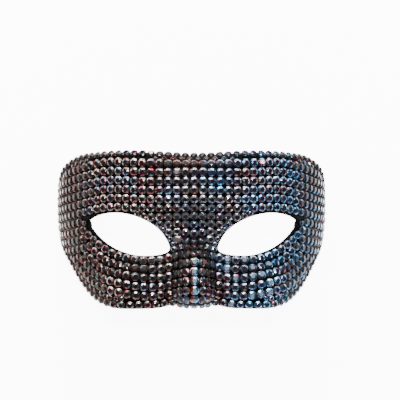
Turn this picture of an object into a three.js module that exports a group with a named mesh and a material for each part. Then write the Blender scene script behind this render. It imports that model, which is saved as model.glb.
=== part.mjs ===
// A rhinestone half mask lying face up: a moulded shell with two eye openings and rows of faceted stones.
// X runs across the face, Y up the face and Z out of it. The two side edges lie on z = 0.
import * as THREE from 'three';

// Driving dimensions of the shell, in millimetres and degrees.
// A place on the face is (s, y): s is measured round the face from its middle line, y straight up the face.
const WRAP = 116; // from the middle line round to a side edge
const WRAP_TURN = 84; // how far a side edge has turned back from the front
const WRAP_POWER = 1.3; // above 1, the turn gathers towards the sides
const WALL = 2;
const GLUE = 0.4; // the outer wall lies this far under the face that the stones are laid on
const SIDE_TOP = 17; // upper end of the straight side edge
const SIDE_FOOT = -4; // lower end of it
const BROW_HEIGHT = 45.7; // upper edge above the middle of the face
const BROW_DIP = { deep: 2.4, half: 30 };
const BROW_FALL = 7; // how far the line of the brow has dropped at the side edges
const JAW_DEPTH = 45.4; // lower edge below the middle of the face
const NOSTRIL_NOTCH = { deep: 1.4, at: 13, half: 6 };
const NOSE_LIP = { deep: 1.2, half: 7 };
const JAW_RISE = { from: 40, bend: 0.0097 };
const CORNERS = { browEnd: 64, jawEnd: 86 }; // where the rounded corners of the outline start

// Relief of the face
const BROW_ROLL = { width: { middle: 17, side: 11, half: 24 }, slope: { middle: 1.7, side: 1.1, half: 24 } };
const BROW_FADE = { from: 78, over: 30 };
const JAW_ROLL = { nose: { width: 12, slope: 1.45 }, cheek: { width: 8, slope: 0.3 }, from: 6, over: 12 };
const JAW_FADE = { from: 70, over: 30 };
const TEMPLE_TAPER = { from: 12, bend: 0.0055 };
const EYE_RECESS = { deep: 9, from: 20, to: -4, half: 38 };
const CHEEK = { high: 7, at: 42, half: 20, top: -13.5, over: 16 };
const NOSE = { high: 15, top: -3, steep: 12, long: 34, narrow: 12.5, widen: 5, widenOver: 30 };

// Stones: round chatons with flat tables, set in rows. A row is one strip, narrower than the stones.
const STONE = { width: 4.35, height: 1.9, table: 2.6, neck: 0.55, seat: 0.2 };
const STONE_PITCH = 4.87;
const EDGE_INSET = 3; // middle of the edge row from the outline
const BROW_ROW_START = 2.8; // from the brow row line down to the first line, one pitch above row 2
const BROW_ROW_PITCH = { middle: 5, side: 5.2, half: 45 };
const BROW_ROW_DIP = { deep: 3.8, half: 34 };
const BROW_ROWS = 11; // the last three only run behind the eyes
const BROW_ROW_FALL = { deep: 4.5, from: 46, over: 50, side: 0.1 };
const TEMPLE_FROM = 70; // where the rows behind the eyes start
const CHEEK_ROW_PITCH = { middle: 5.2, side: 5.1, half: 12 };
const CHEEK_ROWS = 6;
const BRIDGE_ROWS = 4;
const NOSE_ROW = -13.3; // y of the first cheek row on the nose
const EYE_RIM = 3; // middle of the row under an eye from the opening
const STONE_CLEARANCE = 4.55; // least distance between the middles of two stones
const EYE_CLEARANCE = 2.7;
const BARE_CORNER = 5; // how far the bare rim reaches past the outer corner of an eye
const REACH = 84; // s where the cheek rows end
const RUN_END = 0.42; // a run ends this share of the pitch past the middle of its last stone
const END_TAPER = 0.6; // width of a run at its ends
const STRAIGHT = { bend: 14, turn: 8 }; // degrees that one straight seat may bend or turn over its length

const radians = THREE.MathUtils.degToRad;
const at = (s, y) => new THREE.Vector2(s, y);

// smoothstep from 0 at t = 0 to 1 at t = 1
function ease(t) {
  const c = THREE.MathUtils.clamp(t, 0, 1);
  return c * c * (3 - 2 * c);
}

const bell = (t) => Math.exp(-t * t);

// A size that changes from the middle of the face to its sides
const acrossFace = (size, s) => THREE.MathUtils.lerp(size.side, size.middle, bell(s / size.half));

// Upper edge of the shell: dips over the nose, drops slowly to the sides
function browLine(a) {
  return BROW_HEIGHT - BROW_DIP.deep * bell(a / BROW_DIP.half) - BROW_FALL * (a / WRAP) ** 4;
}

// Lower edge: a lip under the nose, a notch at each nostril, then up the cheek
function jawLine(a) {
  const notch = NOSTRIL_NOTCH.deep * bell((a - NOSTRIL_NOTCH.at) / NOSTRIL_NOTCH.half);
  const lip = NOSE_LIP.deep * bell(a / NOSE_LIP.half);
  const rise = JAW_RISE.bend * Math.max(0, a - JAW_RISE.from) ** 2;
  return -JAW_DEPTH + notch + lip + rise;
}

// The horizontal curve of the face: its turn grows with a power of s, and Simpson's rule adds it up
const turnAt = (a) => radians(WRAP_TURN) * (a / WRAP) ** WRAP_POWER;

function wrapAt(a) {
  const steps = 24;
  let x = 0;
  let z = 0;
  for (let i = 0; i <= steps; i++) {
    const inner = i % 2 ? 4 : 2;
    const weight = i === 0 || i === steps ? 1 : inner;
    const turn = turnAt((a * i) / steps);
    x += weight * Math.cos(turn);
    z -= weight * Math.sin(turn);
  }
  return { x: (x * a) / steps / 3, z: (z * a) / steps / 3 };
}

// How far the face stands out of the wrap curve
function relief(a, y) {
  const browWidth = acrossFace(BROW_ROLL.width, a);
  const fromBrow = Math.max(0, 1 - (browLine(a) - y) / browWidth);
  const browFade = 1 - ease((a - BROW_FADE.from) / BROW_FADE.over);
  const browRoll = (acrossFace(BROW_ROLL.slope, a) * browWidth / 3) * fromBrow ** 3 * browFade;

  const toCheek = ease((a - JAW_ROLL.from) / JAW_ROLL.over);
  const jawWidth = THREE.MathUtils.lerp(JAW_ROLL.nose.width, JAW_ROLL.cheek.width, toCheek);
  const jawSlope = THREE.MathUtils.lerp(JAW_ROLL.nose.slope, JAW_ROLL.cheek.slope, toCheek);
  const fromJaw = Math.max(0, 1 - (y - jawLine(a)) / jawWidth);
  const jawFade = 1 - ease((a - JAW_FADE.from) / JAW_FADE.over);
  const jawRoll = (jawSlope * jawWidth / 2) * fromJaw ** 2 * jawFade;

  const taper = TEMPLE_TAPER.bend * Math.max(0, TEMPLE_TAPER.from - y) ** 2 * (a / WRAP) ** 3;
  const sunk = ease((EYE_RECESS.from - y) / (EYE_RECESS.from - EYE_RECESS.to));
  const recess = EYE_RECESS.deep * sunk * bell(a / EYE_RECESS.half);
  const cheek = CHEEK.high * bell((a - CHEEK.at) / CHEEK.half) * ease((CHEEK.top - y) / CHEEK.over);

  const below = NOSE.top - y;
  const noseHeight = NOSE.high * (0.8 * ease(below / NOSE.steep) + 0.2 * ease(below / NOSE.long));
  const noseHalf = NOSE.narrow + NOSE.widen * ease(below / NOSE.widenOver);
  const nose = a < noseHalf ? noseHeight * Math.cos((Math.PI / 2) * (a / noseHalf)) ** 2 : 0;
  return cheek + nose - browRoll - jawRoll - taper - recess;
}

const RIM_DEPTH = -wrapAt(WRAP).z;

function bare(s, y) {
  const a = Math.abs(s);
  const turn = turnAt(a);
  const wrap = wrapAt(a);
  const out = relief(a, y);
  const x = Math.sign(s) * (wrap.x + out * Math.sin(turn));
  return new THREE.Vector3(x, y, RIM_DEPTH + wrap.z + out * Math.cos(turn));
}

// Point, outward normal and the two directions of the surface at (s, y)
function surface(s, y) {
  const step = 0.05;
  const across = bare(s + step, y).sub(bare(s - step, y)).divideScalar(2 * step);
  const up = bare(s, y + step).sub(bare(s, y - step)).divideScalar(2 * step);
  const normal = new THREE.Vector3().crossVectors(across, up).normalize();
  return { point: bare(s, y), normal, across, up };
}

const lifted = (s, y, lift) => {
  const { point, normal } = surface(s, y);
  return point.addScaledVector(normal, lift);
};

// Outline of the right half, from the top of the middle line round to the foot of it, in four stretches
function bezier(a, b, c, d, count) {
  return new THREE.CubicBezierCurve(at(...a), at(...b), at(...c), at(...d)).getPoints(count);
}

function halfOutline() {
  const brow = [];
  for (let a = 0; a < CORNERS.browEnd; a++) {
    brow.push(at(a, browLine(a)));
  }
  const browEnd = [CORNERS.browEnd, browLine(CORNERS.browEnd)];
  brow.push(...bezier(browEnd, [83, 45.6], [106.5, 39.5], [WRAP, SIDE_TOP], 24));
  const side = [];
  for (let y = SIDE_TOP; y >= SIDE_FOOT; y--) {
    side.push(at(WRAP, y));
  }
  const jawEnd = [CORNERS.jawEnd, jawLine(CORNERS.jawEnd)];
  const jaw = bezier([WRAP, SIDE_FOOT], [114, -9.5], [100, -13], jawEnd, 24);
  for (let a = CORNERS.jawEnd - 1; a >= 0; a--) {
    jaw.push(at(a, jawLine(a)));
  }
  return { brow, side, jaw };
}

// Eye opening of the right half: a short blunt outer corner, an arched lid and a rounded inner corner.
// pull stretches the outer corner outwards, for the bare part of the rim.
function eyeOutline(pull) {
  const outer = [66.3 + pull, 5.2];
  const lower = [65.2 + 0.25 * pull, 1.2];
  const lid = [47.5, 9.4];
  const inner = [14.6, -10];
  const floor = [29.5, -14.9];
  return [
    ...bezier(outer, [62.5 + 0.4 * pull, 7.8], [54.5, 9.4], lid, 24).slice(0, -1),
    ...bezier(lid, [34.5, 9.4], [18.3, 2.2], inner, 24).slice(0, -1),
    ...bezier(inner, [13.7, -13.4], [19.5, -14.9], floor, 24).slice(0, -1),
    ...bezier(floor, [44, -14.9], [56.5, -8], lower, 24),
  ];
}

// Shell: rings of points between the eye opening and the outline of each half.
// Both loops are read by the angle seen from the middle of the eye, after the eye is stretched to a round.
const EYE_MIDDLE = { s: 39, y: -2.5, halfWidth: 26, halfHeight: 12 };
const RING_COUNT = 6;
const STRETCHES = { brow: 10, side: 2, jaw: 15, middle: 14 };

const eyeAngle = (p) =>
  Math.atan2((p.y - EYE_MIDDLE.y) / EYE_MIDDLE.halfHeight, (p.x - EYE_MIDDLE.s) / EYE_MIDDLE.halfWidth);

// Running total of a value from point to point, as a share of the whole
function shares(points, value) {
  const sums = [0];
  for (let i = 1; i < points.length; i++) {
    sums.push(sums[i - 1] + value(points[i - 1], points[i]));
  }
  return sums.map((sum) => sum / sums[sums.length - 1]);
}

const gap = (p, q) => bare(p.x, p.y).distanceTo(bare(q.x, q.y));
const bend = (p, q) => surface(p.x, p.y).normal.angleTo(surface(q.x, q.y).normal);
const swing = (p, q) => {
  const turn = eyeAngle(p) - eyeAngle(q);
  return Math.abs(Math.atan2(Math.sin(turn), Math.cos(turn)));
};

// Picks points that share out the given measures of a curve evenly, without its last point
function pick(points, count, measures) {
  const each = measures.map((measure) => shares(points, measure));
  const total = points.map((_, i) => each.reduce((sum, share) => sum + share[i], 0));
  return Array.from({ length: count }, (_, k) => {
    const wanted = (measures.length * k) / count;
    const i = Math.max(1, total.findIndex((m) => m >= wanted));
    const t = (wanted - total[i - 1]) / (total[i] - total[i - 1]);
    return points[i - 1].clone().lerp(points[i], t);
  });
}

function evenPoints(from, to, count) {
  return Array.from({ length: count + 1 }, (_, i) => from.clone().lerp(to, i / count));
}

// Point of the eye opening at an angle, where the ray crosses its outline
function eyePointAt(angle, eye) {
  for (let i = 0; i < eye.length; i++) {
    const a = eye[i];
    const b = eye[(i + 1) % eye.length];
    const toA = eyeAngle(a) - angle;
    const toB = eyeAngle(b) - angle;
    const before = Math.atan2(Math.sin(toA), Math.cos(toA));
    const after = Math.atan2(Math.sin(toB), Math.cos(toB));
    if (before * after <= 0 && Math.abs(before - after) < 1 && before !== after) {
      return a.clone().lerp(b, before / (before - after));
    }
  }
  throw new Error('the ray misses the eye');
}

function shellGeometry() {
  const outline = halfOutline();
  const middle = evenPoints(at(0, jawLine(0)), at(0, browLine(0)), 60);
  const measures = [gap, bend, swing];
  const outer = [
    ...pick(outline.brow, STRETCHES.brow, measures),
    ...pick(outline.side, STRETCHES.side, [gap]),
    ...pick(outline.jaw, STRETCHES.jaw, measures),
    ...pick(middle, STRETCHES.middle, measures),
  ];
  const rimEnd = STRETCHES.brow + STRETCHES.side + STRETCHES.jaw;
  const onSide = (k) => k >= STRETCHES.brow && k <= STRETCHES.brow + STRETCHES.side;
  const eye = eyeOutline(0);
  const count = outer.length;
  // places[k][ring]: from the eye opening out, gathered where the face bends
  const places = outer.map((p) => {
    const spoke = evenPoints(eyePointAt(eyeAngle(p), eye), p, 40);
    return [...pick(spoke, RING_COUNT, [gap, bend]), p];
  });

  const positions = [];
  const indices = [];
  const known = new Map();
  // equal points of the two halves share one vertex on the middle line
  const vertex = (p) => {
    const key = [p.x, p.y, p.z].map((v) => Math.round(v * 1e4)).join();
    if (!known.has(key)) {
      known.set(key, positions.length / 3);
      positions.push(p.x, p.y, p.z);
    }
    return known.get(key);
  };
  for (const side of [1, -1]) {
    // grid[wall][ring][k]
    const grid = [-GLUE, -GLUE - WALL].map((depth) =>
      Array.from({ length: RING_COUNT + 1 }, (_, ring) =>
        places.map((spoke, k) => {
          const point = lifted(side * spoke[ring].x, spoke[ring].y, depth);
          const onEdge = ring === RING_COUNT;
          point.z = onEdge && onSide(k) ? 0 : point.z;
          point.x = onEdge && (k >= rimEnd || k === 0) ? 0 : point.x;
          return vertex(point);
        }),
      ),
    );
    const quad = (a, b, c, d) => {
      indices.push(...(side > 0 ? [a, c, b, a, d, c] : [a, b, c, a, c, d]));
    };
    const top = grid[0];
    const under = grid[1];
    const edge = RING_COUNT;
    for (let k = 0; k < count; k++) {
      const next = (k + 1) % count;
      for (let r = 0; r < edge; r++) {
        quad(top[r][k], top[r + 1][k], top[r + 1][next], top[r][next]);
        quad(under[r][k], under[r][next], under[r + 1][next], under[r + 1][k]);
      }
      quad(top[0][k], top[0][next], under[0][next], under[0][k]);
      if (k < rimEnd) {
        quad(top[edge][k], under[edge][k], under[edge][next], top[edge][next]);
      }
    }
  }
  return closedGeometry(positions, indices);
}

function closedGeometry(positions, indices) {
  const geometry = new THREE.BufferGeometry();
  geometry.setAttribute('position', new THREE.Float32BufferAttribute(positions, 3));
  geometry.setIndex(indices);
  return geometry;
}

// Curves on the face are lists of (s, y)
function lengthsAlong(curve) {
  const points = curve.map((c) => bare(c.x, c.y));
  const lengths = [0];
  for (let i = 1; i < points.length; i++) {
    lengths.push(lengths[i - 1] + points[i].distanceTo(points[i - 1]));
  }
  return lengths;
}

function walk(curve, lengths, wanted) {
  const i = Math.max(1, lengths.findIndex((l) => l >= wanted));
  const t = (wanted - lengths[i - 1]) / (lengths[i] - lengths[i - 1] || 1);
  return curve[i - 1].clone().lerp(curve[i], t);
}

function respace(curve, step) {
  const lengths = lengthsAlong(curve);
  const total = lengths[lengths.length - 1];
  const count = Math.max(2, Math.round(total / step));
  const spaced = (i) => walk(curve, lengths, Math.min(total, (total * i) / count));
  return Array.from({ length: count + 1 }, (_, i) => spaced(i));
}

// Moves a curve square to itself over the face, to the right of its run; step may differ from point to point
function moveAside(curve, step) {
  return curve.map((c, i) => {
    const before = curve[Math.max(0, i - 1)];
    const after = curve[Math.min(curve.length - 1, i + 1)];
    const along = bare(after.x, after.y).sub(bare(before.x, before.y)).normalize();
    const { normal, across, up } = surface(c.x, c.y);
    const aside = new THREE.Vector3().crossVectors(along, normal).multiplyScalar(step(c));
    const aa = across.dot(across);
    const ab = across.dot(up);
    const bb = up.dot(up);
    const fromAcross = aside.dot(across);
    const fromUp = aside.dot(up);
    const det = aa * bb - ab * ab;
    return at(c.x + (fromAcross * bb - fromUp * ab) / det, c.y + (fromUp * aa - fromAcross * ab) / det);
  });
}

function layBeside(curve, distance) {
  const parts = 4;
  let moved = curve;
  for (let i = 0; i < parts; i++) {
    moved = moveAside(moved, (c) => distance(c) / parts);
  }
  return moved;
}

const mirrored = (curve) => [...curve.slice(1).reverse().map((c) => at(-c.x, c.y)), ...curve];
const rightHalf = (curve) => {
  const middle = (curve.length - 1) / 2;
  const half = curve.slice(Math.ceil(middle));
  half[0] = at(0, half[0].y);
  return half;
};

function heightAt(curve, a) {
  const i = curve.findIndex((c, k) => k > 0 && c.x >= a);
  const t = (a - curve[i - 1].x) / (curve[i].x - curve[i - 1].x);
  return THREE.MathUtils.lerp(curve[i - 1].y, curve[i].y, t);
}

// The ring that the edge row follows, as a closed curve from the top of the middle line
function edgeRing() {
  const { brow, side, jaw } = halfOutline();
  const half = respace([...brow, ...side.slice(1), ...jaw.slice(1)], 1);
  const left = half.slice(1, -1).reverse().map((c) => at(-c.x, c.y));
  return insetRing([...half, ...left], EDGE_INSET, 6);
}

function insetRing(ring, distance, parts) {
  let moved = ring;
  for (let i = 0; i < parts; i++) {
    const closed = [moved[moved.length - 1], ...moved, moved[0]];
    moved = moveAside(closed, () => distance / parts).slice(1, -1);
  }
  return moved;
}

const halfOfRing = (ring) => {
  const half = ring.slice(0, ring.length / 2 + 1).map((c) => c.clone());
  half[0].x = 0;
  half[half.length - 1].x = 0;
  return half;
};

// The row under the eyes: over the nose, then along the lower lid and on up to the temple
function lidRow() {
  const noseEnd = 25;
  const lidEnd = 60;
  const eye = eyeOutline(0);
  const belowLid = (a) => {
    const near = eye.filter((p) => Math.abs(p.x - a) < EYE_RIM);
    return Math.min(...near.map((p) => p.y - Math.sqrt(EYE_RIM ** 2 - (p.x - a) ** 2)));
  };
  const row = [];
  for (let a = 0; a <= lidEnd; a++) {
    const onNose = THREE.MathUtils.lerp(NOSE_ROW, belowLid(noseEnd), ease(a / noseEnd));
    row.push(at(a, a < noseEnd ? onNose : belowLid(a)));
  }
  const slope = 0.98 * (row[lidEnd].y - row[lidEnd - 3].y) / 3;
  for (let a = lidEnd + 1; a <= REACH; a++) {
    row.push(at(a, row[lidEnd].y + slope * (a - lidEnd)));
  }
  return row;
}

// The line that the brow rows run below. It falls more to the sides than the edge of the shell.
function browRowLine(a) {
  const fall = BROW_ROW_FALL.deep * ease((a - BROW_ROW_FALL.from) / BROW_ROW_FALL.over);
  const atSide = BROW_ROW_FALL.side * Math.max(0, a - BROW_ROW_FALL.from - BROW_ROW_FALL.over);
  return BROW_HEIGHT - BROW_ROW_DIP.deep * bell(a / BROW_ROW_DIP.half) - fall - atSide;
}

// Every row of stones, as the curve of its right half
function rowCurves() {
  const ring = edgeRing();
  const brow = [];
  for (let a = -WRAP; a <= WRAP; a++) {
    brow.push(at(a, browRowLine(Math.abs(a))));
  }
  const forehead = [];
  let row = layBeside(brow, () => BROW_ROW_START);
  for (let number = 2; number <= BROW_ROWS; number++) {
    row = respace(layBeside(row, (c) => acrossFace(BROW_ROW_PITCH, c.x)), 1);
    const half = rightHalf(row);
    const curve = number > 8 ? half.filter((c) => c.x > TEMPLE_FROM) : half;
    forehead.push({ name: `forehead_stones_${number}`, curve });
  }

  const cheeks = [];
  row = mirrored(lidRow());
  for (let number = 1; number <= CHEEK_ROWS; number++) {
    row = respace(row, 1);
    cheeks.push({ name: `cheek_stones_${number}`, curve: rightHalf(row) });
    row = layBeside(row, (c) => acrossFace(CHEEK_ROW_PITCH, c.x));
  }

  const bridge = [];
  const bridgeHalf = 23;
  for (let number = 1; number <= BRIDGE_ROWS; number++) {
    const curve = [];
    for (let a = 0; a <= bridgeHalf; a++) {
      const from = heightAt(forehead[6].curve, Math.max(0.01, a));
      const to = heightAt(cheeks[0].curve, Math.max(0.01, a));
      const line = Array.from({ length: 41 }, (_, i) => at(a, THREE.MathUtils.lerp(from, to, i / 40)));
      const lengths = lengthsAlong(line);
      curve.push(walk(line, lengths, (lengths[40] * number) / (BRIDGE_ROWS + 1)));
    }
    bridge.push({ name: `bridge_stones_${number}`, curve });
  }
  // rows that are laid first keep their stones where two rows meet
  const order = [...forehead, ...bridge, ...cheeks];
  return { ring, order };
}

function holds(loop, p) {
  let inside = false;
  for (let i = 0; i < loop.length; i++) {
    const a = loop[i];
    const b = loop[(i + 1) % loop.length];
    if (a.y > p.y !== b.y > p.y && p.x < ((b.x - a.x) * (p.y - a.y)) / (b.y - a.y) + a.x) {
      inside = !inside;
    }
  }
  return inside;
}

// Sets the stones of all rows: equal steps from the middle line, a stone left out where it would touch
// another stone or the rim of an eye. Gives runs of neighbours, each with the ends of its stones.
function setStones() {
  const { ring, order } = rowCurves();
  const half = halfOfRing(ring);
  const lengths = lengthsAlong(half);
  const total = lengths[lengths.length - 1];
  const edgeCount = Math.round(total / STONE_PITCH);
  const onEdge = (i) => walk(half, lengths, (total * i) / edgeCount);
  const edge = Array.from({ length: edgeCount + 1 }, (_, i) => onEdge(i));
  const taken = edge.flatMap((c) => [bare(c.x, c.y), bare(-c.x, c.y)]);
  const rim = eyeOutline(BARE_CORNER);
  const rimPoints = rim.map((p) => bare(p.x, p.y));

  const runs = [];
  for (const { name, curve } of order) {
    const along = lengthsAlong(curve);
    const length = along[along.length - 1];
    const kept = [];
    for (let i = 0; i * STONE_PITCH < length; i++) {
      const middle = walk(curve, along, i * STONE_PITCH);
      const point = bare(middle.x, middle.y);
      const inShell = holds(ring, at(middle.x + 0.001, middle.y)) && !holds(rim, middle);
      const clearOfEye = rimPoints.every((p) => p.distanceTo(point) >= EYE_CLEARANCE);
      const clearOfStones = taken.every((p) => p.distanceTo(point) >= STONE_CLEARANCE);
      kept.push(inShell && clearOfEye && clearOfStones);
    }
    const inRow = kept.map((_, i) => walk(curve, along, i * STONE_PITCH));
    inRow.forEach((c, i) => kept[i] && taken.push(bare(c.x, c.y), bare(-c.x, c.y)));
    const border = (steps) => walk(curve, along, THREE.MathUtils.clamp(steps * STONE_PITCH, 0, length));
    runs.push(...runsOf(name, kept, border, curve[0].x === 0));
  }
  const edgeEnds = Array.from({ length: edgeCount }, (_, i) => onEdge(i + 0.5));
  const leftEnds = edgeEnds.map((c) => at(-c.x, c.y)).reverse();
  return { runs, edgeEnds: [...edgeEnds, ...leftEnds] };
}

// Splits a row into runs of neighbouring stones. Single stones are left to the surface finish.
function runsOf(name, kept, border, fromMiddle) {
  const spans = [];
  let start = -1;
  for (let i = 0; i <= kept.length; i++) {
    if (kept[i] && start < 0) {
      start = i;
    }
    if (!kept[i] && start >= 0) {
      spans.push([start, i - 1]);
      start = -1;
    }
  }
  const runs = [];
  let sideRuns = 0;
  for (const [first, last] of spans) {
    const crosses = fromMiddle && first === 0;
    const ends = crosses ? [] : [border(first - RUN_END)];
    for (let i = first; i < last; i++) {
      ends.push(border(i + 0.5));
    }
    ends.push(border(last + RUN_END));
    if (crosses) {
      runs.push({ name, ends: [...ends.map((c) => at(-c.x, c.y)).reverse(), ...ends] });
    } else if (last > first) {
      sideRuns += 1;
      const suffix = sideRuns > 1 ? sideRuns : '';
      runs.push({ name: `${name}_right${suffix}`, ends });
      runs.push({ name: `${name}_left${suffix}`, ends: ends.map((c) => at(-c.x, c.y)).reverse() });
    }
  }
  return runs;
}

// One run as a single strip. Every stone is a low frustum with a square table, and a thin neck joins it to
// the next. The underside is flat from stone to stone, or over two or three where the face hardly bends.
function stripGeometry(ends, closed) {
  const count = closed ? ends.length : ends.length - 1;
  const end = (i) => ends[i % ends.length];
  const frames = [];
  for (let i = 0; i < ends.length; i++) {
    const before = closed ? end(i + ends.length - 1) : ends[Math.max(0, i - 1)];
    const after = closed ? end(i + 1) : ends[Math.min(ends.length - 1, i + 1)];
    const { point, normal } = surface(ends[i].x, ends[i].y);
    const along = bare(after.x, after.y).sub(bare(before.x, before.y)).normalize();
    const side = new THREE.Vector3().crossVectors(normal, along).normalize();
    const taper = !closed && (i === 0 || i === count) ? END_TAPER : 1;
    frames.push({ point, normal, side, lift: STONE.seat, half: (taper * STONE.width) / 2 });
  }
  const frame = (i) => frames[i % frames.length];

  // spans of the seat: up to three stones where the strip bends little
  const spans = [];
  for (let i = 0; i < count; ) {
    const straight = (width) =>
      i + width <= count &&
      frame(i).normal.angleTo(frame(i + width).normal) < radians(STRAIGHT.bend) &&
      frame(i).side.angleTo(frame(i + width).side) < radians(STRAIGHT.turn);
    const width = [3, 2, 1].find((wide) => wide === 1 || straight(wide));
    spans.push([i, i + width]);
    i += width;
  }
  raiseSeats(frame, end, spans);

  const positions = [];
  const indices = [];
  const add = (p) => {
    positions.push(p.x, p.y, p.z);
    return positions.length / 3 - 1;
  };
  const raised = (f, aside, up) =>
    f.point.clone().addScaledVector(f.side, aside).addScaledVector(f.normal, up + f.lift);
  const face = (...corners) => {
    for (let i = 2; i < corners.length; i++) {
      indices.push(corners[0], corners[i - 1], corners[i]);
    }
  };
  const necks = frames.map((f) => add(raised(f, 0, STONE.neck)));
  const seats = new Map();
  const seat = (i) => {
    const k = i % frames.length;
    if (!seats.has(k)) {
      seats.set(k, [add(raised(frames[k], frames[k].half, 0)), add(raised(frames[k], -frames[k].half, 0))]);
    }
    return seats.get(k);
  };
  const neck = (i) => necks[i % frames.length];

  // four corners of a table: left and right at the near end, then at the far end
  const table = (i) => {
    const a = frame(i);
    const b = frame(i + 1);
    const lift = (a.lift + b.lift) / 2;
    const place = end(i).clone().lerp(end(i + 1), 0.5);
    const { point, normal } = surface(place.x, place.y);
    const along = b.point.clone().sub(a.point).normalize();
    const side = new THREE.Vector3().crossVectors(normal, along).normalize();
    const run = STONE.table / 2;
    return [[1, -1], [-1, -1], [1, 1], [-1, 1]].map(([l, t]) =>
      add(point.clone()
        .addScaledVector(side, l * run)
        .addScaledVector(along, t * run)
        .addScaledVector(normal, STONE.height + lift)));
  };
  for (const [first, last] of spans) {
    const [left0, right0] = seat(first);
    const [left1, right1] = seat(last);
    face(left0, left1, right1, right0);
    const left = [neck(first)];
    const right = [neck(first)];
    for (let i = first; i < last; i++) {
      const [nearLeft, nearRight, farLeft, farRight] = table(i);
      face(neck(i), nearRight, nearLeft);
      face(nearLeft, nearRight, farRight, farLeft);
      face(neck(i + 1), farLeft, farRight);
      left.push(nearLeft, farLeft, neck(i + 1));
      right.push(nearRight, farRight, neck(i + 1));
    }
    const peak = Math.floor(left.length / 2);
    slope(face, left0, left1, left, peak);
    slope(face, right1, right0, right.reverse(), right.length - 1 - peak);
  }
  if (!closed) {
    const [left0, right0] = seat(0);
    const [left1, right1] = seat(count);
    face(left0, right0, neck(0));
    face(right1, left1, neck(count));
  }
  return closedGeometry(positions, indices);
}

// Fills the side of a span between its straight foot and the ridge of tables and necks above it
function slope(face, near, far, ridge, peak) {
  for (let i = 1; i <= peak; i++) {
    face(near, ridge[i - 1], ridge[i]);
  }
  face(near, ridge[peak], far);
  for (let i = peak + 1; i < ridge.length; i++) {
    face(far, ridge[i - 1], ridge[i]);
  }
}

// Lifts the seats where the face bulges between their corners
function raiseSeats(frame, end, spans) {
  const half = STONE.width / 2;
  for (const [first, last] of spans) {
    const a = frame(first);
    const b = frame(last);
    let bulge = 0;
    for (let t = 0; t <= 1; t += 0.25) {
      for (const aside of [-half, 0, half]) {
        const low = a.point.clone().addScaledVector(a.side, aside);
        const high = b.point.clone().addScaledVector(b.side, aside);
        const chord = low.lerp(high, t);
        const place = end(first).clone().lerp(end(last), t);
        const { point, normal, across, up } = surface(place.x, place.y);
        const offset = chord.clone().sub(point);
        const near = surface(
          place.x + offset.dot(across) / across.lengthSq(),
          place.y + offset.dot(up) / up.lengthSq(),
        );
        bulge = Math.max(bulge, near.point.sub(chord).dot(near.normal.add(normal).normalize()));
      }
    }
    a.lift = Math.max(a.lift, STONE.seat + bulge);
    b.lift = Math.max(b.lift, STONE.seat + bulge);
  }
}

const shellPlastic = new THREE.MeshStandardMaterial({ color: 0x101012, roughness: 0.42, metalness: 0 });
const stoneGlass = new THREE.MeshStandardMaterial({ color: 0x3a3f48, roughness: 0.12, metalness: 0.6 });

const mask = new THREE.Group();

function addPiece(name, geometry, material) {
  const mesh = new THREE.Mesh(geometry, material);
  mesh.name = name;
  mask.add(mesh);
}

addPiece('mask_shell', shellGeometry(), shellPlastic);
const { runs, edgeEnds } = setStones();
addPiece('edge_stones', stripGeometry(edgeEnds, true), stoneGlass);
for (const { name, ends } of runs) {
  addPiece(name, stripGeometry(ends, false), stoneGlass);
}

// The middle of the whole outline lies on the Z axis
const box = new THREE.Box3().setFromObject(mask);
for (const piece of mask.children) {
  piece.geometry.translate(0, -(box.min.y + box.max.y) / 2, -box.min.z);
}

export default mask;
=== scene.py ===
from types import SimpleNamespace as Sizes

import bpy
import numpy as np
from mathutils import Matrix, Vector


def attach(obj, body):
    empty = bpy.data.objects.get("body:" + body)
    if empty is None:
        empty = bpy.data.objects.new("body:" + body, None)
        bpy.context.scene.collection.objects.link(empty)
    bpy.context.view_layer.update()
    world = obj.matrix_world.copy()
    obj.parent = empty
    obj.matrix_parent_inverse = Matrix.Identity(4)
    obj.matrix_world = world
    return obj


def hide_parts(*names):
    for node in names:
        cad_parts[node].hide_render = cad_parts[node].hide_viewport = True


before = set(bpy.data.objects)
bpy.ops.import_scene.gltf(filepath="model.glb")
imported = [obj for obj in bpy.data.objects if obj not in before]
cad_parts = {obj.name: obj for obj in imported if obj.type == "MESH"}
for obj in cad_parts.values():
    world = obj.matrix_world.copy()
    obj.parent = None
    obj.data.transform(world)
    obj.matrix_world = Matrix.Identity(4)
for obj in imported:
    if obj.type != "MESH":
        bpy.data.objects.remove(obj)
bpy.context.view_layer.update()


# Shell: one piece of black plastic, 2 mm thick, moulded over the shape of a face, trimmed and rounded at
# its cut edges. Sizes are in mm. A place on the face is (s, y): s is measured round the face from its middle
# line, y straight up it, and a is s without its sign. Curves on the face are arrays of such places.
WRAP = 116  # s of a side edge
WRAP_TURN = np.radians(84)  # how far a side edge has turned back from the front
WRAP_POWER = 1.3  # above 1, so the turn gathers towards the sides
WRAP_END = 118  # the wrap curve goes a little past the side edge
WALL = 2
GLUE = 0.4  # the outer wall lies this far under the face that the stones are set on
MM = 0.001  # in metres
CENTRE_Y = 0.1  # middle of the whole outline, which the frame's Z axis goes through

BROW_HEIGHT = 45.7  # upper edge, above the middle of the face
BROW_DIP = Sizes(deep=2.4, half=30)
BROW_FALL = 7  # how far the line of the brow has dropped at the side edges
JAW_DEPTH = 45.4  # lower edge, below the middle of the face
NOSTRIL_NOTCH = Sizes(deep=1.4, at=13, half=6)
NOSE_LIP = Sizes(deep=1.2, half=7)
JAW_RISE = Sizes(start=40, bend=0.0097)
BROW_END = 64  # s where the line of the brow goes over into the upper corner
JAW_END = 86  # s where the lower corner goes over into the line of the jaw
SIDE_TOP, SIDE_FOOT = 17, -4  # ends of the straight side edge

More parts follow.
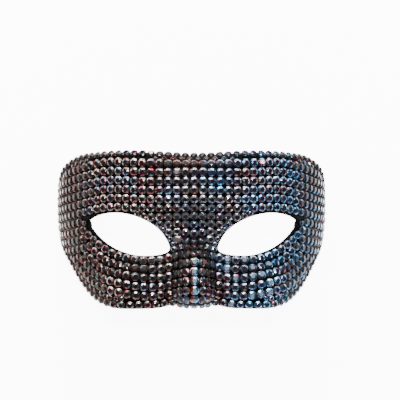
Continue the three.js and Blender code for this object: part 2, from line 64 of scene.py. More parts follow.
BROW_ROLL_WIDTH = Sizes(middle=17, side=11, half=24)
BROW_ROLL_SLOPE = Sizes(middle=1.7, side=1.1, half=24)
BROW_FADE = Sizes(start=78, over=30)
JAW_ROLL = Sizes(nose_width=12, cheek_width=8, nose_slope=1.45, cheek_slope=0.3, start=6, over=12)
JAW_FADE = Sizes(start=70, over=30)
TEMPLE_TAPER = Sizes(start=12, bend=0.0055)
EYE_RECESS = Sizes(deep=9, top=20, over=24, half=38)
CHEEK = Sizes(high=7, at=42, half=20, top=-13.5, over=16)
NOSE = Sizes(high=15, top=-3, steep=12, long=34, narrow=12.5, widen=5, widen_over=30)

EYE_MIDDLE = Sizes(s=39, y=-2.5, half_width=26, half_height=12)
NEAR_CUT = np.array([0, 0.04, 0.15, 0.35, 0.65, 1.0, 1.5])  # rings of points close to a cut edge
RINGS_BETWEEN = 34
SPOKE_GAP = 1.1  # between spokes, along the outline
MIDDLE_GAPS = 84  # spaces between spokes, along the middle line
CUT_STEP = 0.2  # between the points of the outline that distances are taken from
SAME_POINT = 2000  # points that round to the same 1/2000 mm are one point

SHELL_BLACK, SHELL_CLOUDED = (0.0012, 0.0012, 0.0014), (0.003, 0.0029, 0.003)
SHELL_SATIN, SHELL_DULL = 0.3, 0.45  # roughness
CLOUD_SCALE, GRAIN_SCALE = 55, 1400  # patches of about 20 mm, grain under 1 mm


def ease(t):
    """Smoothstep: 3t^2 - 2t^3, from 0 at t = 0 to 1 at t = 1."""
    t = np.clip(t, 0, 1)
    return t * t * (3 - 2 * t)


def bell(t):
    """Bell curve: e to the power of minus t squared, 1 at t = 0."""
    return np.exp(-t * t)


def across_face(size, s):
    """A size that goes from its middle value to its side value as a bell curve of s."""
    return size.side + (size.middle - size.side) * bell(s / size.half)


def brow_line(a):
    """Upper edge: a bell-shaped dip over the nose, and a fall with the fourth power of a."""
    return BROW_HEIGHT - BROW_DIP.deep * bell(a / BROW_DIP.half) - BROW_FALL * (a / WRAP) ** 4


def jaw_line(a):
    """Lower edge: bell-shaped notches at the nostrils, a lip under the nose, a parabola up the cheek."""
    notch = NOSTRIL_NOTCH.deep * bell((a - NOSTRIL_NOTCH.at) / NOSTRIL_NOTCH.half)
    lip = NOSE_LIP.deep * bell(a / NOSE_LIP.half)
    return -JAW_DEPTH + notch + lip + JAW_RISE.bend * np.maximum(0, a - JAW_RISE.start) ** 2


def turn_at(a):
    """How far the face has turned back at a, as a power of a."""
    return WRAP_TURN * (np.minimum(a, WRAP_END) / WRAP) ** WRAP_POWER


def wrap_curve():
    """The horizontal curve of the face: cosine and sine of its turn, added up in steps of 0.05 mm."""
    a = np.linspace(0, WRAP_END, 20 * WRAP_END + 1)
    turn = turn_at(a)
    step = a[1] - a[0]
    x = np.concatenate([[0], np.cumsum((np.cos(turn[1:]) + np.cos(turn[:-1])) / 2 * step)])
    z = np.concatenate([[0], -np.cumsum((np.sin(turn[1:]) + np.sin(turn[:-1])) / 2 * step)])
    return a, x, z


wrap_a, wrap_x, wrap_z = wrap_curve()
rim_depth = -np.interp(WRAP, wrap_a, wrap_z)


def relief(a, y):
    """How far the face stands out of the wrap curve. Brow and jaw roll back with the cube and the square of
    the way past a line, the eyes are sunk, cheeks and nose stand out, and the temples taper in."""
    brow_width = across_face(BROW_ROLL_WIDTH, a)
    from_brow = np.maximum(0, 1 - (brow_line(a) - y) / brow_width)
    brow_fade = 1 - ease((a - BROW_FADE.start) / BROW_FADE.over)
    brow_roll = across_face(BROW_ROLL_SLOPE, a) * brow_width / 3 * from_brow**3 * brow_fade

    to_cheek = ease((a - JAW_ROLL.start) / JAW_ROLL.over)
    jaw_width = JAW_ROLL.nose_width + (JAW_ROLL.cheek_width - JAW_ROLL.nose_width) * to_cheek
    jaw_slope = JAW_ROLL.nose_slope + (JAW_ROLL.cheek_slope - JAW_ROLL.nose_slope) * to_cheek
    from_jaw = np.maximum(0, 1 - (y - jaw_line(a)) / jaw_width)
    jaw_fade = 1 - ease((a - JAW_FADE.start) / JAW_FADE.over)
    jaw_roll = jaw_slope * jaw_width / 2 * from_jaw**2 * jaw_fade

    taper = TEMPLE_TAPER.bend * np.maximum(0, TEMPLE_TAPER.start - y) ** 2 * (a / WRAP) ** 3
    recess = EYE_RECESS.deep * ease((EYE_RECESS.top - y) / EYE_RECESS.over) * bell(a / EYE_RECESS.half)
    cheek = CHEEK.high * bell((a - CHEEK.at) / CHEEK.half) * ease((CHEEK.top - y) / CHEEK.over)

    below = NOSE.top - y
    nose_high = NOSE.high * (0.8 * ease(below / NOSE.steep) + 0.2 * ease(below / NOSE.long))
    nose_half = NOSE.narrow + NOSE.widen * ease(below / NOSE.widen_over)
    nose = nose_high * np.cos(np.pi / 2 * np.minimum(a / nose_half, 1)) ** 2
    return cheek + nose - brow_roll - jaw_roll - taper - recess


def bare(s, y):
    """Point of the face: the wrap curve, and the relief square to it. The side edges lie at Z = 0."""
    a = np.abs(s)
    out = relief(a, y)
    x = np.sign(s) * (np.interp(a, wrap_a, wrap_x) + out * np.sin(turn_at(a)))
    z = rim_depth + np.interp(a, wrap_a, wrap_z) + out * np.cos(turn_at(a))
    return np.stack([x, y + 0 * x, z], axis=-1)


def unit(v):
    """Vectors divided by their length."""
    return v / np.linalg.norm(v, axis=-1, keepdims=True)


def surface(s, y):
    """Point, outward normal and the two directions of the face, taken from the change over 0.1 mm."""
    step = 0.05
    across = (bare(s + step, y) - bare(s - step, y)) / (2 * step)
    up = (bare(s, y + step) - bare(s, y - step)) / (2 * step)
    return bare(s, y), unit(np.cross(across, up)), across, up


def bezier(a, b, c, d, count=24):
    """Points of a cubic Bezier curve."""
    t = np.linspace(0, 1, count + 1)[:, None]
    a, b, c, d = (np.array(p, float) for p in (a, b, c, d))
    return a * (1 - t) ** 3 + 3 * b * t * (1 - t) ** 2 + 3 * c * t * t * (1 - t) + d * t**3


def half_outline():
    """Outline of the right half, from the top of the middle line round to its foot: the line of the brow,
    a curve, the straight side edge, another curve and the line of the jaw."""
    a = np.arange(0, float(BROW_END))
    brow = np.stack([a, brow_line(a)], -1)
    corner = bezier((BROW_END, brow_line(BROW_END)), (83, 45.6), (106.5, 39.5), (WRAP, SIDE_TOP))
    y = np.arange(SIDE_TOP - 1.0, SIDE_FOOT, -1)
    side = np.stack([np.full(len(y), float(WRAP)), y], -1)
    foot = bezier((WRAP, SIDE_FOOT), (114, -9.5), (100, -13), (JAW_END, jaw_line(JAW_END)))
    a = np.arange(JAW_END - 1.0, -1, -1)
    return np.concatenate([brow, corner, side, foot, np.stack([a, jaw_line(a)], -1)])


def eye_outline(pull):
    """Eye opening of the right half, in four curves: a short blunt outer corner, an arched upper lid, a
    rounded inner corner and a lower lid. pull moves the outer corner outwards, for the bare rim."""
    outer, lower = (66.3 + pull, 5.2), (65.2 + 0.25 * pull, 1.2)
    arch, inner, under = (47.5, 9.4), (14.6, -10), (29.5, -14.9)
    return np.concatenate([
        bezier(outer, (62.5 + 0.4 * pull, 7.8), (54.5, 9.4), arch)[:-1],
        bezier(arch, (34.5, 9.4), (18.3, 2.2), inner)[:-1],
        bezier(inner, (13.7, -13.4), (19.5, -14.9), under)[:-1],
        bezier(under, (44, -14.9), (56.5, -8), lower),
    ])


def lengths_along(curve):
    """Running length of a curve on the face: the steps from point to point, added up."""
    steps = np.linalg.norm(np.diff(bare(*curve.T), axis=0), axis=1)
    return np.concatenate([[0], np.cumsum(steps)])


def walk(curve, lengths, wanted):
    """Places on a curve at the wanted lengths, on the straight line between two of its points."""
    return np.stack([np.interp(wanted, lengths, curve[:, i]) for i in (0, 1)], -1)


def respace(curve, step):
    """The same curve with even steps."""
    lengths = lengths_along(curve)
    count = max(2, round(lengths[-1] / step))
    return walk(curve, lengths, np.linspace(0, lengths[-1], count + 1))


def nearest(points, others):
    """Distance of each point from the nearest of the others, in parts of 500 points to save memory."""
    parts = np.array_split(points, len(points) // 500 + 1)
    return np.concatenate([np.linalg.norm(part[:, None] - others, axis=2).min(1) for part in parts])


def eye_angle(places):
    """Direction of a place from the middle of the eye, with the eye stretched to a round."""
    across = (places[:, 0] - EYE_MIDDLE.s) / EYE_MIDDLE.half_width
    return np.arctan2((places[:, 1] - EYE_MIDDLE.y) / EYE_MIDDLE.half_height, across)


def spoke_grid(outline):
    """Grid of places on the right half. A spoke is a straight line from the eye opening to the outline or
    the middle line, between places in the same direction, with its places closer near both ends."""
    middle = np.linspace(jaw_line(0), brow_line(0), MIDDLE_GAPS + 1)[1:-1]
    outer = np.concatenate([outline, np.stack([0 * middle, middle], -1)])
    eye = eye_outline(0)
    eye = eye[np.argsort(eye_angle(eye))]
    angle = eye_angle(eye)
    around = np.concatenate([angle - 2 * np.pi, angle, angle + 2 * np.pi])
    inner = np.stack([np.interp(eye_angle(outer), around, np.tile(eye[:, i], 3)) for i in (0, 1)], -1)

    near = NEAR_CUT / np.linalg.norm(bare(*outer.T) - bare(*inner.T), axis=1)[:, None]
    last = near[:, -1:]
    between = last + np.linspace(0, 1, RINGS_BETWEEN + 2)[1:-1] * (1 - 2 * last)
    shares = np.concatenate([near, between, 1 - near[:, ::-1]], axis=1)
    return inner[:, None] + (outer - inner)[:, None] * shares[:, :, None]


def from_cut(places):
    """Distance of each place from the nearest cut edge, which is the outline or the eye opening."""
    cuts = (respace(half_outline(), CUT_STEP), eye_outline(0))
    halfway = [(cut[1:] + cut[:-1]) / 2 for cut in cuts]
    return nearest(places.reshape(-1, 2), np.concatenate([*cuts, *halfway])).reshape(places.shape[:2])


def shell_mesh():
    """Outer and inner wall over the same grid, half a wall r off the wall's middle. Near a cut they come
    closer by r - sqrt(r^2 - (r - d)^2) at a distance d from it, and at the cut they meet."""
    outline = respace(half_outline(), SPOKE_GAP)
    spots = spoke_grid(outline)
    count, rings = spots.shape[:2]
    apart = from_cut(spots)
    apart[:, 0] = 0
    apart[: len(outline), -1] = 0
    radius = WALL / 2
    rounding = radius - np.sqrt(radius**2 - (radius - np.minimum(apart, radius)) ** 2)

    spoke = np.arange(count)[:, None]
    ring = np.arange(rings - 1)
    here = spoke * rings + ring
    beside = (spoke + 1) % count * rings + ring
    outer_quads = np.stack([here, beside, beside + 1, here + 1], -1).reshape(-1, 4)
    on_middle = spots[:, -1, 0] == 0
    points, faces = [], []
    for mirror in (1, -1):
        point, normal, _, _ = surface(mirror * spots[..., 0], spots[..., 1])
        for wall in (1, -1):
            depth = -(GLUE + radius) + wall * (radius - rounding)
            grid = point + normal * depth[..., None]
            grid[on_middle, -1, 0] = 0
            grid[..., 2] = np.maximum(grid[..., 2], 0)
            quads = outer_quads if mirror * wall > 0 else outer_quads[:, [0, 3, 2, 1]]
            faces.append(quads + len(points) * count * rings)
            points.append(grid.reshape(-1, 3))
    points, faces = np.concatenate(points), np.concatenate(faces)
    rounded = np.round(points * SAME_POINT).astype(int)
    _, first, same = np.unique(rounded, axis=0, return_index=True, return_inverse=True)
    return points[first], same.reshape(-1)[faces].tolist()


def placed(points):
    """Millimetres on the face to metres in the frame."""
    return (points - [0, CENTRE_Y, 0]) * MM


def add_mesh(name, points, faces, smooth):
    """A mesh object at the origin, from points in metres and faces of one or more sizes."""
    mesh = bpy.data.meshes.new(name)
    mesh.from_pydata(points.tolist(), [], faces)
    mesh.polygons.foreach_set("use_smooth", np.full(len(mesh.polygons), smooth))
    mesh.validate()
    obj = bpy.data.objects.new(name, mesh)
    bpy.context.collection.objects.link(obj)
    return obj


def new_material(name):
    """A material with two helpers: finish fills inputs of its shader, and node adds a node with its
    settings and inputs. An input takes a number, a colour or the output of another node."""
    material = bpy.data.materials.new(name)
    material.use_nodes = True
    tree = material.node_tree

    def fill(made, inputs):
        for key, value in inputs.items():
            socket = made.inputs[key]
            if isinstance(value, bpy.types.NodeSocket):
                tree.links.new(value, socket)
            elif socket.type == "RGBA":
                socket.default_value = (*value, 1)
            else:
                socket.default_value = value

    def finish(inputs):
        fill(tree.nodes["Principled BSDF"], inputs)

    def node(kind, inputs, **settings):
        made = tree.nodes.new(kind)
        for key, value in settings.items():
            setattr(made, key, value)
        fill(made, inputs)
        return made

    return material, finish, node


def shell_plastic():
    """Black moulded plastic with a satin sheen. A fine mould grain is in the bump, and faint clouds make
    it a little greyer and duller in patches."""
    material, finish, node = new_material("shell_plastic")
    place = node("ShaderNodeTexCoord", {}).outputs["Object"]
    cloud = node("ShaderNodeTexNoise", {"Vector": place, "Scale": CLOUD_SCALE, "Detail": 3}).outputs["Fac"]
    grain = node("ShaderNodeTexNoise", {"Vector": place, "Scale": GRAIN_SCALE, "Detail": 2}).outputs["Fac"]
    tint = node("ShaderNodeMix", {"Factor": cloud, "A": SHELL_BLACK, "B": SHELL_CLOUDED}, data_type="RGBA")
    sheen = node("ShaderNodeMapRange", {"Value": cloud, "To Min": SHELL_SATIN, "To Max": SHELL_DULL})
    bump = node("ShaderNodeBump", {"Height": grain, "Strength": 0.12, "Distance": 0.0002})
    finish({
        "Base Color": tint.outputs["Result"],
        "Roughness": sheen.outputs["Result"],
        "Normal": bump.outputs["Normal"],
        "IOR": 1.15,
        "Specular IOR Level": 0.15,
        "Specular Tint": (0.25, 0.25, 0.25),
    })
    return material


shell_points, shell_faces = shell_mesh()
shell = add_mesh("shell", placed(shell_points), shell_faces, True)
shell.data.materials.append(shell_plastic())
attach(shell, "root")
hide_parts("mask_shell")


# Stones: round foil-backed glass stones, 4.8 mm wide and 4.4 mm in the row along the edge, each with a
# flat eight-sided table, star and kite facets and a girdle. They are glued on by hand in rows, and smaller
# ones fill the gaps where rows meet, so every stone is turned and tipped a little differently.
STONE_PITCH = 4.87  # along a row
EDGE_INSET, EDGE_MOVES = 3, 6  # from the outline to the edge row, in so many short moves
BROW_ROW_DIP = Sizes(deep=3.8, half=34)
BROW_ROW_FALL = Sizes(deep=4.5, start=46, over=50, side=0.1)
BROW_ROW_START = Sizes(middle=2.8, side=2.8, half=45)
BROW_ROW_PITCH = Sizes(middle=5, side=5.2, half=45)
BROW_ROWS = range(2, 12)
TEMPLE_ROW, TEMPLE_FROM = 9, 70  # from this row on, a brow row has only its part past this s
NOSE_ROW = -13.3  # y of the first cheek row on the middle line
LID_FROM, LID_TO, LID_SLOPE = 25, 60, 0.98  # s where it follows the lid, and its slope beyond as a share
CHEEK_ROW_PITCH = Sizes(middle=5.2, side=5.1, half=12)
CHEEK_ROWS = range(1, 7)
REACH = 84  # s where the first cheek row ends
BRIDGE_ROWS, BRIDGE_REACH = range(1, 5), 24  # they end at this s
BRIDGE_POINTS = 41  # points of the line that they share out, at each s
EYE_RIM = 3  # from the lower lid to the first cheek row
BARE_CORNER = 5  # how far the bare rim reaches out past the outer corner of the eye
EYE_CLEARANCE, STONE_CLEARANCE = 2.7, 4.55  # from a stone's middle to the bare rim and to another stone's

CUT_RADIUS = 2.3  # the cut is drawn for a stone of this radius
EDGE_RADIUS, ROW_RADIUS = 2.17, 2.4
SET_RADIUS, RIM_GAP = 2.25, 0.5  # what a filler keeps clear of: a set stone's radius, and the bare rim
FILLER_STEP, FILLER_SMALLEST, FILLER_LARGEST = 0.6, 1.3, 2.3
ASIDE = 0.001  # so that no place lies right on the corner of a loop
ON_MIDDLE = 0.01  # a stone this near the middle line has no mirror image
TILT = 0.04  # spread of the tipping of stones, about 2 degrees
TABLE_RING, STAR_RING, GIRDLE_RING, FOOT_RING = (1.2, 1.77), (1.82, 1.49), (2.32, 1.05), (2.05, -0.35)
TABLE, CROWN, GIRDLE = 0.0, 0.5, 1.0  # kinds of facet


def move_aside(curve, step):
    """Moves a curve over the face, to the right of its run: the cross product of its run and the normal,
    split between the two directions of the face by least squares."""
    count = len(curve)
    before = curve[np.maximum(np.arange(count) - 1, 0)]
    after = curve[np.minimum(np.arange(count) + 1, count - 1)]
    along = unit(bare(*after.T) - bare(*before.T))
    _, normal, across, up = surface(*curve.T)
    aside = np.cross(along, normal) * np.reshape(step, (-1, 1))
    aa, ab, bb = (across**2).sum(1), (across * up).sum(1), (up**2).sum(1)
    by_across, by_up = (aside * across).sum(1), (aside * up).sum(1)
    moved = np.stack([by_across * bb - by_up * ab, by_up * aa - by_across * ab], -1)
    return curve + moved / (aa * bb - ab * ab)[:, None]


def lay_beside(curve, distance):
    """A curve laid beside another, in four short moves. The distance is a size across the face."""
    for _ in range(4):
        curve = move_aside(curve, across_face(distance, curve[:, 0]) / 4)
    return curve


def right_half(curve):
    """The half of a row from the middle line to the right."""
    half = curve[len(curve) // 2:].copy()
    half[0, 0] = 0
    return half


def edge_ring():
    """The closed ring of the edge row: the outline and its mirror image, moved inwards."""
    half = respace(half_outline(), 1)
    ring = np.concatenate([half, half[-2:0:-1] * [-1, 1]])
    for _ in range(EDGE_MOVES):
        closed = np.concatenate([ring[-1:], ring, ring[:1]])
        ring = move_aside(closed, EDGE_INSET / EDGE_MOVES)[1:-1]
    return ring


def lid_row():
    """The first cheek row. It eases from the nose down to the lid, keeps the same distance below the lid
    as a ball rolled along it, and runs straight on to the temple."""
    eye = eye_outline(0)
    a = np.arange(REACH + 1.0)
    away = np.abs(eye[:, 0] - a[:, None])
    ball = np.sqrt(np.maximum(EYE_RIM**2 - away**2, 0))
    y = np.where(away < EYE_RIM, eye[:, 1] - ball, np.inf).min(1)
    y[:LID_FROM] = NOSE_ROW + (y[LID_FROM] - NOSE_ROW) * ease(a[:LID_FROM] / LID_FROM)
    slope = LID_SLOPE * (y[LID_TO] - y[LID_TO - 3]) / 3
    y[LID_TO + 1:] = y[LID_TO] + slope * (a[LID_TO + 1:] - LID_TO)
    return np.stack([a, y], -1)


def brow_row_line(a):
    """The line that the brow rows run below: a bell-shaped dip, an eased fall, then a straight one."""
    past = a - BROW_ROW_FALL.start
    fall = BROW_ROW_FALL.deep * ease(past / BROW_ROW_FALL.over)
    side = BROW_ROW_FALL.side * np.maximum(0, past - BROW_ROW_FALL.over)
    return BROW_HEIGHT - BROW_ROW_DIP.deep * bell(a / BROW_ROW_DIP.half) - fall - side


def row_curves():
    """Every row but the edge row, as the curve of its right half. A brow or cheek row is laid beside the
    one before it, and the bridge rows share out the lengths between the two kinds."""
    s = np.arange(-WRAP, WRAP + 1.0)
    row = lay_beside(np.stack([s, brow_row_line(np.abs(s))], -1), BROW_ROW_START)
    rows = {}
    for number in BROW_ROWS:
        row = respace(lay_beside(row, BROW_ROW_PITCH), 1)
        half = right_half(row)
        rows[f"forehead_stones_{number}"] = half[half[:, 0] > TEMPLE_FROM] if number >= TEMPLE_ROW else half

    half = lid_row()
    row = np.concatenate([half[:0:-1] * [-1, 1], half])
    cheeks = {}
    for number in CHEEK_ROWS:
        row = respace(row, 1)
        cheeks[f"cheek_stones_{number}"] = right_half(row)
        row = lay_beside(row, CHEEK_ROW_PITCH)

    top, foot = rows["forehead_stones_8"], cheeks["cheek_stones_1"]
    lines = []
    for a in np.arange(0, float(BRIDGE_REACH)):
        y = np.linspace(np.interp(a, *top.T), np.interp(a, *foot.T), BRIDGE_POINTS)
        lines.append(np.stack([0 * y + a, y], -1))
    for number in BRIDGE_ROWS:
        places = []
        for line in lines:
            lengths = lengths_along(line)
            places.append(walk(line, lengths, lengths[-1] * number / (len(BRIDGE_ROWS) + 1)))
        rows[f"bridge_stones_{number}"] = np.array(places)
    return {**rows, **cheeks}


def holds(loop, places):
    """True for a place inside a closed loop: a line to its right crosses the loop an odd number of times."""
    a, b = loop, np.roll(loop, -1, axis=0)
    s, y = places[:, :1], places[:, 1:]
    crosses = (a[:, 1] > y) != (b[:, 1] > y)
    with np.errstate(divide="ignore", invalid="ignore"):
        at = (b[:, 0] - a[:, 0]) * (y - a[:, 1]) / (b[:, 1] - a[:, 1]) + a[:, 0]
    return (crosses & (s < at)).sum(1) % 2 == 1


def open_face(places):
    """True for a place inside the edge row and outside the bare rims of the eyes."""
    return holds(edge_ring(), places + [ASIDE, 0]) & ~holds(eye_outline(BARE_CORNER), places)


def steps_along(curve, steps):
    """Places on a curve at the given lengths, and the run of the curve over 1 mm at each."""
    lengths = lengths_along(curve)
    after = walk(curve, lengths, np.minimum(steps + 0.5, lengths[-1]))
    before = walk(curve, lengths, np.maximum(steps - 0.5, 0))
    return walk(curve, lengths, steps), after - before


def set_stones():
    """Sets the stones of all rows from the middle line, and leaves one out where it would touch another,
    the rim of an eye or the edge row. A row that starts on the middle line keeps its plain name up to
    its first gap. Gives {name: [(place, run, radius)]}."""
    ring = edge_ring()
    half = ring[: len(ring) // 2 + 1].copy()
    half[[0, -1], 0] = 0
    length = lengths_along(half)[-1]
    edge, ahead = steps_along(half, np.linspace(0, length, round(length / STONE_PITCH) + 1))
    left = zip(edge[-2:0:-1] * [-1, 1], ahead[-2:0:-1] * [1, -1])
    stones = {"edge_stones": [(place, run, EDGE_RADIUS) for place, run in [*zip(edge, ahead), *left]]}

    taken = np.concatenate([bare(*edge.T), bare(*(edge * [-1, 1]).T)])
    rim = bare(*eye_outline(BARE_CORNER).T)
    for name, curve in row_curves().items():
        places, ahead = steps_along(curve, np.arange(0, lengths_along(curve)[-1], STONE_PITCH))
        points = bare(*places.T)
        clear = (nearest(points, rim) >= EYE_CLEARANCE) & (nearest(points, taken) >= STONE_CLEARANCE)
        kept = open_face(places) & clear
        taken = np.concatenate([taken, points[kept], points[kept] * [-1, 1, 1]])
        in_middle = (curve[0, 0] == 0) & (np.cumsum(~kept) == 0)
        for i in np.flatnonzero(kept):
            for mirror, side in ((1, "_right"), (-1, "_left")):
                if mirror < 0 and places[i, 0] < ON_MIDDLE:
                    continue
                key = name if in_middle[i] else name + side
                stone = (places[i] * [mirror, 1], ahead[i] * [1, mirror], ROW_RADIUS)
                stones.setdefault(key, []).append(stone)
    return stones


def fill_spots(stones):
    """Adds a smaller stone in the middle of each bare spot, the widest spot first, to the nearest row."""
    owners = [name for name, row in stones.items() for _ in row]
    fixed = np.array([bare(*place) for row in stones.values() for place, _, _ in row])
    across, up = np.arange(0, 112, FILLER_STEP), np.arange(-45, 46, FILLER_STEP)
    spots = np.stack(np.meshgrid(across, up), -1).reshape(-1, 2)
    spots = spots[nearest(bare(*spots.T), fixed) - SET_RADIUS >= FILLER_SMALLEST]
    spots = spots[open_face(spots)]
    points = bare(*spots.T)
    from_rim = nearest(points, bare(*eye_outline(BARE_CORNER).T)) - RIM_GAP
    room = np.minimum(np.minimum(nearest(points, fixed) - SET_RADIUS, from_rim), FILLER_LARGEST)
    while room.max() >= FILLER_SMALLEST:
        widest = room.argmax()
        radius = room[widest]
        for mirror in (1, -1):
            place = spots[widest] * [mirror, 1]
            point = bare(*place)
            owner = owners[np.linalg.norm(fixed - point, axis=1).argmin()]
            stones[owner].append((place, np.array([1.0, 0.0]), radius))
            room = np.minimum(room, np.linalg.norm(points - point, axis=1) - radius)
    return stones


def stone_cut():
    """Points (along, aside, up) in millimetres and faces of one stone, with the kind of each face. Its
    rings are regular: table and star with 8 corners, girdle and foot with 16."""
    def circle(ring, count, turn=0):
        radius, up = ring
        t = (np.arange(count) + turn) * 2 * np.pi / count
        return np.stack([radius * np.cos(t), radius * np.sin(t), np.full(count, up)], -1)

    table = circle(TABLE_RING, 8, 0.5)
    star = circle(STAR_RING, 8)
    girdle = circle(GIRDLE_RING, 16)
    foot = circle(FOOT_RING, 16)
    faces = [list(range(8))]
    for i in range(8):
        j = (i + 1) % 8
        low, next_low = 16 + 2 * i, 16 + (2 * i + 2) % 16
        faces.append([i, 8 + j, j])
        faces.append([8 + i, low + 1, 8 + j, i])
        faces.append([8 + i, low, low + 1])
        faces.append([8 + j, low + 1, next_low])
    kinds = [TABLE] + [CROWN] * (len(faces) - 1)
    for i in range(16):
        j = (i + 1) % 16
        faces.append([16 + i, 32 + i, 32 + j, 16 + j])
    faces.append(list(range(47, 31, -1)))
    kinds += [GIRDLE] * (len(faces) - len(kinds))
    return np.concatenate([table, star, girdle, foot]), faces, np.array(kinds)


def row_of_stones(name, places, seed):
    """One row: the cut of a stone repeated over the places, square to the face, tipped and turned by
    chance. Each facet carries values: cut (its kind), chance (its own), stone (its stone's chance), rise
    (the cube of how far it faces the brow, which the material turns into a painted highlight) and lean
    (how far the face looks up at the stone, which the material turns into painted shade on the sides)."""
    rng = np.random.default_rng(seed)
    cut, faces, kinds = stone_cut()
    place, ahead, radius = (np.array(values) for values in zip(*places))
    count = len(place)
    point, normal, across, up = surface(*place.T)
    lean = normal[:, 2]
    along = unit(across * ahead[:, :1] + up * ahead[:, 1:])
    normal = unit(normal + rng.normal(0, TILT, (count, 3)))
    side = unit(np.cross(normal, along))
    along = np.cross(side, normal)
    turn = rng.uniform(0, 2 * np.pi, count)[:, None]
    along, side = along * np.cos(turn) + side * np.sin(turn), side * np.cos(turn) - along * np.sin(turn)
    offset = along[:, None] * cut[:, :1] + side[:, None] * cut[:, 1:2] + normal[:, None] * cut[:, 2:]
    points = point[:, None] + radius[:, None, None] / CUT_RADIUS * offset

    brow = unit(up - normal * (up * normal).sum(1, keepdims=True))
    heart = np.array([cut[face, :2].mean(0) for face in faces])  # 0 for the table, which faces no side
    outward = heart / np.maximum(np.linalg.norm(heart, axis=1, keepdims=True), 0.1)
    rise = (along * brow).sum(1)[:, None] * outward[:, 0] + (side * brow).sum(1)[:, None] * outward[:, 1]
    all_faces = [[i * len(cut) + v for v in face] for i in range(count) for face in faces]
    obj = add_mesh(name, placed(points.reshape(-1, 3)), all_faces, False)
    values = {
        "cut": np.tile(kinds, count),
        "chance": rng.random(count * len(kinds)),
        "stone": np.repeat(rng.random(count), len(kinds)),
        "rise": rise.reshape(-1) ** 3,
        "lean": np.repeat(lean, len(kinds)),
    }
    for key, value in values.items():
        attribute = obj.data.attributes.new(key, "FLOAT", "FACE")
        attribute.data.foreach_set("value", value.astype(np.float32))
    return obj


# Tints of the facets by their tone, which is a number from 0 to 1: bright and dark ones on the left of the
# mask (cream, ember) and on the right (ice, deep), and the tables on each side. The bright tints are painted
# highlights and the dark ones painted shade, and the warm left and cool right are a painted reflection of
# warm light from the left and cool light from the right.
CREAM = {0.0: (0.32, 0.25, 0.17), 0.3: (0.34, 0.33, 0.31), 0.6: (0.26, 0.16, 0.1), 0.78: (0.15, 0.28, 0.33),
         0.95: (0.3, 0.08, 0.14)}
ICE = {0.0: (0.05, 0.27, 0.42), 0.3: (0.012, 0.25, 0.48), 0.55: (0.3, 0.36, 0.4), 0.75: (0.36, 0.28, 0.19),
       0.92: (0.05, 0.18, 0.42)}
EMBER = {0.0: (0.11, 0.003, 0.016), 0.3: (0.06, 0.048, 0.038), 0.55: (0.014, 0.045, 0.06),
         0.8: (0.065, 0.036, 0.022)}
DEEP = {0.0: (0.006, 0.1, 0.18), 0.25: (0.06, 0.003, 0.014), 0.4: (0.008, 0.18, 0.36),
        0.65: (0.006, 0.03, 0.11), 0.85: (0.045, 0.034, 0.024)}
LEFT_TABLE = {0.0: (0.02, 0.001, 0.004), 0.4: (0.004, 0.003, 0.004), 0.8: (0.002, 0.006, 0.009)}
RIGHT_TABLE = {0.0: (0.003, 0.01, 0.02), 0.5: (0.016, 0.001, 0.004), 0.8: (0.005, 0.003, 0.007)}
# painted reflections, highlights and glints of the tables, and painted reflections of warm and cool light
# down the ridge
PALE_PAINTED_REFLECTION, RIDGE_PAINTED_HIGHLIGHT, FLASH_PAINTED_GLINT = (0.07, 0.1, 0.135), (0.12, 0.12, 0.13), (0.6, 0.6, 0.58)
WARM_PAINTED_REFLECTION, COOL_PAINTED_REFLECTION, RED_SPARK = (0.26, 0.035, 0.015), (0.03, 0.22, 0.38), (0.15, 0.001, 0.012)
# painted shade for sideways facets and for the sides of the mask, and the girdle's own grey
SIDEWAYS_PAINTED_SHADE, SIDE_PAINTED_SHADE, GIRDLE_GREY = (0.008, 0.006, 0.005), (0.012, 0.01, 0.009), (0.05, 0.043, 0.04)

# Shares and limits of the stones' tints, most of them for painted light and shade. stone and chance are
# limits that a stone's or a facet's chance has to be above, except where chance is a share of the painted
# light. Places are in metres.
TO_RIGHT = Sizes(sharp=9.0, sharper=350.0, scale=60, drift=2.6, back=-1.05)
TONE_SPREAD = 2.6
PAINTED_LIGHT = Sizes(rise=0.5, chance=0.75, base=0.17, low=-0.5, lean=0.18, cheek=6.0, power=4.0)
BETWEEN_EYES = Sizes(at=(0, -0.002, 0.048), share=0.95, fade=-22.0)
SIDEWAYS_SHADE = Sizes(under=0.6, brown=1.5)
SIDE_SHADE = Sizes(brow=3.6, all_facets=0.85)
SPARK = Sizes(stone=0.75, chance=0.94)
UNDER_EYE = Sizes(stone=0.6, x=0.03, half=0.014, y=-0.016)
RIDGE = Sizes(half=0.0028, y=-0.017, chance=0.45)
FLASH_STONE = 0.975
FOIL, POLISH, GIRDLE_MATT = 0.85, 0.14, 0.2  # metal of the foil, roughness, and what the girdle adds to it


